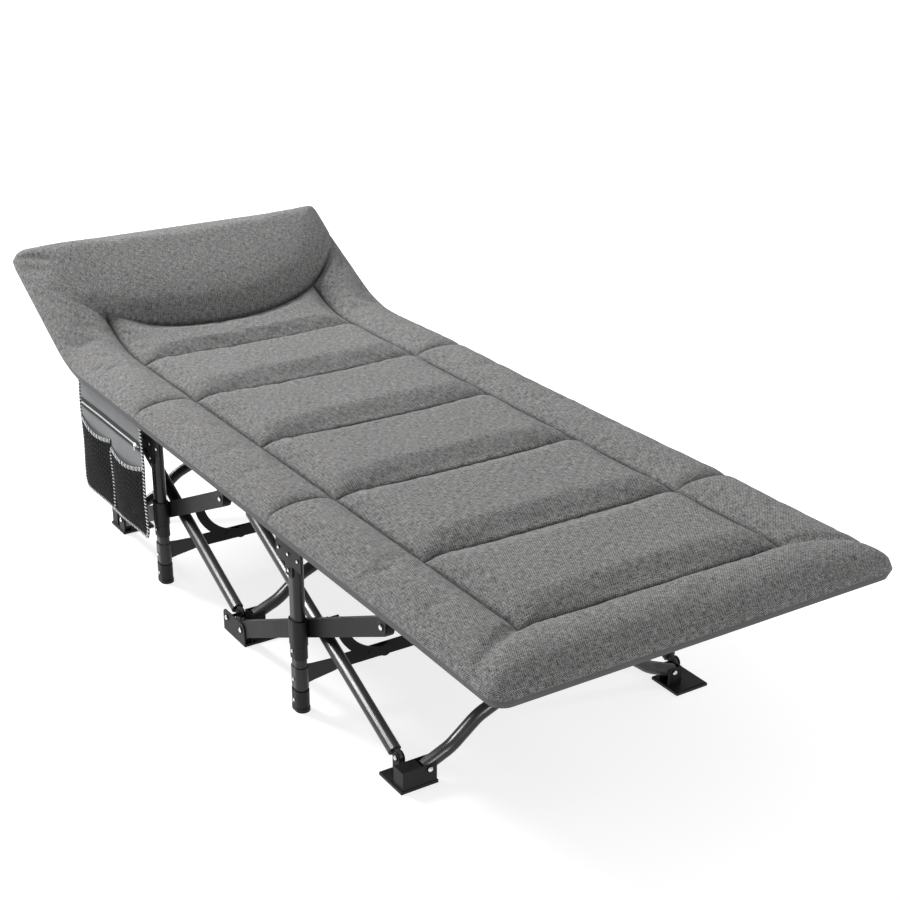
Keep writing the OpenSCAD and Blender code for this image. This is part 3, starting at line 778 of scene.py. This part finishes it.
def make_bed(materials):
    """Both halves of the bed, cut from one simulated top and one smooth underside."""
    us, ys = bed_lines(FINE_STEP, BESIDE_SEAMS)
    u, y = lay_out(us, ys)
    w = top_height(u, y) + puckers(u, y)
    moved = np.zeros((*u.shape, 3))
    coarse_us, coarse_ys = bed_lines(SIM_STEP)
    step = simulate_top(coarse_us, coarse_ys)
    moved = np.stack([resample(step[..., k], coarse_us, coarse_ys, us, ys) for k in range(3)], -1)
    moved *= still(u, y)[..., None]
    top = bend_head(u + moved[..., 0], y + moved[..., 1], w + moved[..., 2])
    under = bend_head(u, y, under_height(u, y))
    middle = len(ys) // 2
    top[:, middle, 1] = under[:, middle, 1] = 0
    outline = np.zeros(u.shape, bool)
    outline[[0, -1], :] = outline[:, [0, -1]] = True
    under[outline] = top[outline]
    top_normals, under_normals = grid_normals(top), -grid_normals(under)
    flat = cloth_places(top, u, y)
    for side, chosen in (("near", slice(0, middle + 1)), ("far", slice(middle, len(ys)))):
        grids = [grid[:, chosen] for grid in (flat, seam_shade_mask(u, y), top, under, top_normals, under_normals)]
        bed = bed_half(side, *grids, materials)
        attach(bed, "mattress_" + side, BED_SQUASH)
        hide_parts("mattress_" + side)


def on_bed(u, y, height=top_height, drop=0.0):
    """Points of a seam on the bed, drop below the height, and the directions out of its surface."""
    u, y = np.broadcast_arrays(np.asarray(u, float), np.asarray(y, float))
    w = height(u, y) - drop
    sign = 1 if height is top_height else -1
    at = bend_head(u, y, w)
    return at, unit(bend_head(u, y, w + 0.001) - at) * sign


def bed_stitching(colour):
    """Thread in every seam of the top, and round the underside."""
    for side, sign in (("near", -1), ("far", 1)):
        bits = Bits()
        across = sign * np.arange(0.003, SEAM_Y - 0.002, STITCH_STEP)
        for seam in CROSS_SEAMS:
            sew(bits, *on_bed(seam, across))
        start = KINK_X - float(pillow_edge(SEAM_Y))
        sew(bits, *on_bed(np.arange(start + 0.01, FOOT_SEAM - 0.002, STITCH_STEP), sign * SEAM_Y))
        for seam in BORDER_SEAMS[sign]:
            sew(bits, *on_bed(seam, sign * np.arange(SEAM_Y + 0.004, HALF_WIDTH - 0.008, STITCH_STEP)))
        arc_y = sign * np.arange(0.003, 0.235 if sign < 0 else 0.27, STITCH_STEP)
        sew(bits, *on_bed(KINK_X - pillow_edge(arc_y), arc_y))
        long_u = np.arange(HEAD_U + 0.04, HALF_LENGTH - 0.04, STITCH_STEP)
        end_y = sign * np.arange(0.003, HALF_WIDTH - 0.04, STITCH_STEP)
        sew(bits, *on_bed(long_u, sign * (HALF_WIDTH - HEM_INSET), under_height))
        for end in (HEAD_U + HEM_INSET, HALF_LENGTH - HEM_INSET):
            sew(bits, *on_bed(end, end_y, under_height))
        attach(bits.make("bed_thread_" + side, colour), "mattress_" + side, BED_SQUASH)


HUB_Y = -(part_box("hub_mid_near")[0][1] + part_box("hub_mid_near")[1][1]) / 2
TAPE_RUN, TAPE_WIDE = (-0.64, 0.66), 0.038
PATCH_LONG, PATCH_WIDE = 0.084, 0.062
PATCH_SEAM = 0.005


def under_strip(name, run, centre_y, wide, drop, thick, material):
    """Strip of cloth that follows the underside, drop below it."""
    us = np.linspace(*run, max(2, round((run[1] - run[0]) / 0.01)))
    u, y = np.meshgrid(us, centre_y + np.linspace(-wide / 2, wide / 2, 5), indexing="ij")
    height = under_height(u, y) - drop
    points = bend_head(u, y, height)
    verts, faces = slab(points, bend_head(u, y, height - thick) - points)
    bits = Bits()
    flat = np.stack([u, y, 0 * u], -1).reshape(-1, 3)
    bits.add(verts, faces, np.concatenate([flat, flat]))
    return bits.make(name, material)


def underside_webbing(tape_material, thread_material):
    """Tapes and patches on the underside where the hubs hold the bed."""
    for side, sign in (("near", -1), ("far", 1)):
        body, bed = "mattress_" + side, "bed_" + side
        tape = under_strip("under_tape_" + side, TAPE_RUN, sign * HUB_Y, TAPE_WIDE, -0.0004, 0.0014,
                           tape_material)
        attach(tape, body, BED_SQUASH)
        lines = Bits()
        for hub in ("head", "mid", "foot"):
            low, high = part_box(f"hub_{hub}_near")
            centre = (low[0] + high[0]) / 2
            run = (centre - PATCH_LONG / 2, centre + PATCH_LONG / 2)
            patch = under_strip(f"under_patch_{hub}_{side}", run, sign * HUB_Y, PATCH_WIDE, 0.0008, 0.0012,
                                tape_material)
            attach(patch, body, BED_SQUASH)
            u_ends = (run[0] + PATCH_SEAM, run[1] - PATCH_SEAM)
            y_ends = [sign * HUB_Y + d * (PATCH_WIDE / 2 - PATCH_SEAM) for d in (-1, 1)]
            corners = [(0, 0), (1, 0), (1, 1), (0, 1), (0, 0), (1, 1)]
            for (i_a, j_a), (i_b, j_b) in zip(corners, corners[1:]):
                u = np.linspace(u_ends[i_a], u_ends[i_b], 20)
                y = np.linspace(y_ends[j_a], y_ends[j_b], 20)
                sew(lines, *on_bed(u, y, under_height, 0.0021))
        attach(lines.make("under_thread_" + side, thread_material), body, BED_SQUASH)


HEM_TAB_TOP = 0.3202
HEM_TAB_GRIP = 0.012
HEM_TAB_THICK = 0.0014


def hem_tabs(material):
    """Webbing tabs from the bed's edge down behind the T-brackets. They go with the legs."""
    for end in ("head", "foot"):
        for side, sign in (("near", -1), ("far", 1)):
            low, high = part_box(f"leg_bracket_{end}_{side}")
            inner = high[1] if sign < 0 else low[1]
            xs = np.linspace(low[0] + 0.004, high[0] - 0.004, 25)
            zs = np.linspace(high[2] - HEM_TAB_GRIP, HEM_TAB_TOP, 13)
            x, z = np.meshgrid(xs, zs, indexing="ij")
            slack = 0.0004 + 0.0004 * np.sin(x * 130) * np.sin(math.pi * (z - zs[0]) / (zs[-1] - zs[0]))
            points = np.stack([x, inner - sign * slack, z], -1)
            verts, faces = slab(points, np.array([0, -sign * HEM_TAB_THICK, 0]))
            bits = Bits()
            bits.add(verts, faces, verts[:, [0, 2, 1]])
            tab = bits.make(f"hem_tab_{end}_{side}", material)
            attach(tab, f"leg_{end}_{side}")


# ---------------------------------------------------------------- the side pocket

POCKET_LOW, POCKET_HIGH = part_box("pocket_panel")
POCKET_TOP = 0.3225
POCKET_CORNER = 0.012
ZIP_Z = 0.275
POCKET_SQUASH = (POCKET_HIGH[0], 0.4)
POUCHES = {"head": (0.0, 0.5, 0.243, 0.239), "foot": (0.5, 1.0, 0.225, 0.235)}
POUCH_DEPTH = 0.011
POCKET_BODY = "leg_head_near"
TOOTH_PITCH = 0.0022


def panel_y(x, z):
    """Front of the pocket's back panel, which hangs a little wavy."""
    drop = np.clip((POCKET_TOP - z) / 0.22, 0, 1)
    return POCKET_LOW[1] + 0.0012 * drop * np.sin(x * 38 + 1) + 0.0008 * np.sin(z * 45 + x * 12)


def rounded_panel():
    """Places on the panel in X and Z, with its lower corners rounded."""
    xs = np.linspace(POCKET_LOW[0], POCKET_HIGH[0], 61)
    zs = np.linspace(POCKET_LOW[2], POCKET_TOP, 47)
    x, z = np.meshgrid(xs, zs, indexing="ij")
    inset = np.minimum(x - xs[0], xs[-1] - x)
    side = np.clip(1 - inset / POCKET_CORNER, 0, 1)
    lift = POCKET_CORNER * (1 - np.sqrt(1 - side**2))
    return x, z + lift * np.clip(1 - (z - zs[0]) / 0.06, 0, 1)


def pouch_surface(start, end, left_top, right_top):
    """Grid of one pouch's front, bulging out and drawn in by the elastic at its top."""
    t, v = np.meshgrid(np.linspace(0, 1, 49), np.linspace(0, 1, 37), indexing="ij")
    width = POCKET_HIGH[0] - POCKET_LOW[0]
    x = POCKET_LOW[0] + width * (start + (end - start) * t)
    top = left_top + (right_top - left_top) * t - 0.012 * np.sin(math.pi * t)
    corner = np.clip(1 - np.minimum(x - POCKET_LOW[0], POCKET_HIGH[0] - x) / POCKET_CORNER, 0, 1)
    bottom = POCKET_LOW[2] + 0.001 + POCKET_CORNER * (1 - np.sqrt(1 - corner**2))
    z = bottom + (top - bottom) * v
    bulge = (1 - np.abs(2 * t - 1) ** 1.8) * np.sin(0.84 * math.pi * v**0.75)
    gathers = 0.0008 * np.sin(t * 74 + 2 * np.sin(t * 9)) * v**2 * (1 - np.abs(2 * t - 1) ** 4)
    folds = 0.0012 * np.sin(t * 7 + v * 5 + start * 9) * np.sin(math.pi * v) * (1 - np.abs(2 * t - 1) ** 2)
    y = panel_y(x, z) - 0.0012 - POUCH_DEPTH * bulge - gathers - folds
    return np.stack([x, y, z], -1)


def whip(bits, path, wide, high):
    """White thread wrapped over a binding at even steps."""
    path = np.asarray(path, float)
    along = run_length(path)
    ahead = unit(np.gradient(path, axis=0))
    for at in np.arange(0.003, along[-1] - 0.002, 0.0070):
        place = np.array([np.interp(at, along, path[:, k]) for k in range(3)])
        way = np.array([np.interp(at, along, ahead[:, k]) for k in range(3)])
        side = unit(np.cross(way, (0, -1, 0)))
        turn = np.linspace(0.05, 0.95, 7) * math.pi
        loop = place + (np.cos(turn)[:, None] * wide * 1.06 * side
                        + np.sin(turn)[:, None] * (high + 0.0004) * np.array([0, -1, 0])
                        + (np.linspace(-0.5, 0.5, 7) * 0.0012)[:, None] * way)
        bits.add(*tube(loop, (0.0012, 0.0005), (0, -1, 0.02), 6))


def zip_fastener(tape_material, metal):
    """Zip across the upper panel: two tapes, a row of teeth, and a slider with its pull."""
    x = np.linspace(POCKET_LOW[0] + 0.010, POCKET_HIGH[0] - 0.010, 60)
    tape, teeth, slider = Bits(), Bits(), Bits()
    for offset in (-0.0052, 0.0052):
        z = np.array([-0.004, 0.004]) + ZIP_Z + offset
        grid_x, grid_z = np.meshgrid(x, z, indexing="ij")
        points = np.stack([grid_x, panel_y(grid_x, grid_z) - 0.0016, grid_z], -1)
        verts, faces = slab(points, np.array([0, 0.0012, 0]))
        tape.add(verts, faces, verts[:, [0, 2, 1]])
    for number, tooth_x in enumerate(np.arange(x[0] + 0.003, x[-1] - 0.003, TOOTH_PITCH)):
        z = ZIP_Z + (0.0004 if number % 2 else -0.0004)
        y = float(panel_y(tooth_x, z)) - 0.0022
        corners = [(tooth_x + a * 0.0007, z + b * 0.0016) for a, b in ((-1, -1), (1, -1), (1, 1), (-1, 1))]
        verts = [(cx, y + back, cz) for back in (0, 0.0012) for cx, cz in corners]
        sides = [((k + 1) % 4, k, k + 4, (k + 1) % 4 + 4) for k in range(4)]
        teeth.add(verts, [(0, 1, 2, 3), (7, 6, 5, 4), *sides])
    slider_x = x[-1] - 0.016
    slider_y = float(panel_y(slider_x, ZIP_Z)) - 0.0030
    body = [(slider_x + dx, slider_y, ZIP_Z) for dx in (-0.006, -0.0045, 0.0, 0.0045, 0.006)]
    pull = [(slider_x - 0.002, slider_y - 0.0016, ZIP_Z - dz) for dz in (0.001, 0.004, 0.008, 0.011)]
    slider.add(*tube(body, (0.0034, 0.0016), (0, -1, 0), 10))
    slider.add(*tube(pull, (0.0014, 0.0006), (0, -1, 0), 10))
    made = []
    for bits, name, material, slot_name in ((tape, "zip_tape", tape_material, "black_piping"),
                                            (teeth, "zip_teeth", metal, "white_thread"),
                                            (slider, "zip_slider", metal, "rivet_steel")):
        made.append(bits.make(name, material))
        attach(made[-1], POCKET_BODY, POCKET_SQUASH)
    return made


def make_pouch(key, net, piping, white):
    """One net pouch with its elastic top, and the thread wrapped over the elastic."""
    front = pouch_surface(*POUCHES[key])
    along_x = np.linalg.norm(np.diff(front, axis=0, prepend=front[:1]), axis=-1).cumsum(0)
    along_z = np.linalg.norm(np.diff(front, axis=1, prepend=front[:, :1]), axis=-1).cumsum(1)
    rim = front[:, -1] + (0, 0.0002, 0)
    cloth, elastic, dashes = Bits(), Bits(), Bits()
    verts, faces = slab(front, np.array([0, 0.0008, 0]))
    flat = np.stack([along_x, along_z, 0 * along_x], -1).reshape(-1, 3)
    cloth.add(verts, faces, np.concatenate([flat, flat]))
    elastic.add(*tube(rim, (0.0034, 0.0013), (0, -1, 0), 10), tube_flat(rim, 10))
    whip(dashes, rim, 0.0036, 0.0013)
    pouch = cloth.make("pouch_" + key, net)
    trim = [elastic.make(f"pouch_{key}_elastic", piping), dashes.make(f"pouch_{key}_thread", white)]
    for piece, slot_name in zip([pouch, *trim], ("pocket_mesh", "black_piping", "white_thread")):
        attach(piece, POCKET_BODY, POCKET_SQUASH)
    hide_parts("pocket_mesh")
    return front


def make_pocket(cloth, net, piping, white, metal):
    """Back panel with its bound edge, the two pouches, the divider between them, and the zip."""
    x, z = rounded_panel()
    points = np.stack([x, panel_y(x, z), z], -1)
    bits, edge, dashes = Bits(), Bits(), Bits()
    verts, faces = slab(points, np.array([0, 0.0016, 0]))
    bits.add(verts, faces, verts[:, [0, 2, 1]])
    panel = bits.make("pocket_panel_cloth", cloth)
    attach(panel, POCKET_BODY, POCKET_SQUASH)
    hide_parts("pocket_panel")
    fronts = [make_pouch(key, net, piping, white) for key in POUCHES]
    around = np.concatenate([points[0, :0:-1], points[:, 0], points[-1, 1:]]) + (0, 0.0002, 0)
    divider = fronts[-1][0] + (0, -0.0006, 0)
    for run, wide in ((around, 0.0036), (divider, 0.0022)):
        edge.add(*tube(run, (wide, 0.0018), (0, -1, 0), 8), tube_flat(run, 8))
        whip(dashes, run, wide, 0.0018)
    trim = [edge.make("pocket_piping", piping), dashes.make("pocket_thread", white)]
    attach(trim[0], POCKET_BODY, POCKET_SQUASH)
    attach(trim[1], POCKET_BODY, POCKET_SQUASH)
    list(zip_fastener(piping, metal))


# ---------------------------------------------------------------- rivets

PITCH, INSET, LOW_Z, TOP_Z = 0.550, 0.028, 0.028, 0.258
TUBE_R, BAR_T, LEG_X, LEG_D, LOW_PLATE_Z = 0.011, 0.012, 0.275, 0.020, 0.063
CROSS_Y = PITCH / 2 - INSET
ROUND_Y = CROSS_Y + 2 * TUBE_R + 0.001
FLAT_Y = ROUND_Y + TUBE_R + 0.0015 + BAR_T / 2
LEG_FACE = FLAT_Y + BAR_T / 2 + 0.0035 + LEG_D
FLAT_FACE, ROUND_FACE = FLAT_Y + BAR_T / 2 + 0.0037, ROUND_Y + 0.0067
CONNECTOR_FACE = FLAT_Y + BAR_T / 2 + 0.0039
LUG_OUT = 0.0039
BIG, SMALL = 0.0043, 0.0027


def side_rivets(s):
    """(body, place, direction, radius) of every rivet on one side: s is -1 near, 1 far."""
    out = (0, s, 0)
    where = "near" if s < 0 else "far"
    found = []
    for end, d in (("head", -1), ("foot", 1)):
        side_x = d * (PITCH - INSET)
        for part, z, flat in (("pad", LOW_Z, d < 0), ("hub", TOP_Z, d > 0)):
            face = FLAT_FACE if flat else ROUND_FACE
            body = f"{part}_{end}_{where}"
            found.append((body, (side_x, s * face, z), out, BIG))
            tube_x = d * (PITCH - s * (TUBE_R + 0.001))
            for a in (-1, 1):
                found.append((body, (tube_x + a * (TUBE_R + LUG_OUT), s * CROSS_Y, z), (a, 0, 0), BIG))
        leg = f"leg_{end}_{where}"
        for x, z, stand in ((0, 0.020, 0.0030), (0, 0.110, 0.0030), (0, 0.058, 0.0028), (0, 0.254, 0.0040),
                            (-0.032, 0.282, 0.0040), (0, 0.282, 0.0040), (0.032, 0.282, 0.0040)):
            found.append((leg, (d * LEG_X + x, s * (LEG_FACE + stand), z), out, SMALL))
        found.append((f"low_plate_{end}_{where}", (d * LEG_X + s * 0.0059, 0, LOW_PLATE_Z), (s, 0, 0), BIG))
    for x, flat in ((-INSET, False), (INSET, True)):
        face = FLAT_FACE if flat else CONNECTOR_FACE
        found.append((f"connector_{where}", (x, s * face, LOW_Z), out, BIG))
        face = ROUND_FACE if flat else FLAT_FACE
        found.append((f"hub_mid_{where}", (x, s * face, TOP_Z), out, BIG))
    return found


def make_rivets(metal):
    """Bright rivet heads, one piece for each body."""
    bodies = {}
    for s in (-1, 1):
        for body, place, out, radius in side_rivets(s):
            dome(bodies.setdefault(body, Bits()), place, out, radius)
    for body, bits in bodies.items():
        attach(bits.make("rivets_" + body, metal), body)


# ---------------------------------------------------------------- making it all

add_camera()
add_studio()
add_floor()

hard_materials = {
    "black_steel": powder_coat("black_steel", 0.012, 0.30, 0.32),
    "black_plate": powder_coat("black_plate", 0.007, 0.40, 0.12, 600.0),
    "black_plastic": moulded("black_plastic", 0.006),
}
bar_paint = powder_coat("black_bar", 0.010, 0.40, 0.10)
for entry in frame["record"]["subparts"]:
    if entry["material_slot"] in hard_materials:
        node = frame["nodes"][entry["node"]]
        node.data.materials.clear()
        flat_bar = entry["node"].startswith("flat_bar")
        node.data.materials.append(bar_paint if flat_bar else hard_materials[entry["material_slot"]])

piping = ribbed_tape("black_piping", 0.012)
grey_thread = thread("grey_thread", 0.16)
white_thread = thread("white_thread", 0.75)
metal = bright_steel("rivet_steel")
make_bed([linen(), plain_weave("underside_cloth", 0.045, 0.05)])
bed_stitching(grey_thread)
webbing = ribbed_tape("webbing", 0.03, 220.0)
underside_webbing(webbing, white_thread)
hem_tabs(webbing)
make_pocket(plain_weave("pocket_cloth", 0.15, 0.05), netting(), piping, white_thread, metal)
make_rivets(metal)
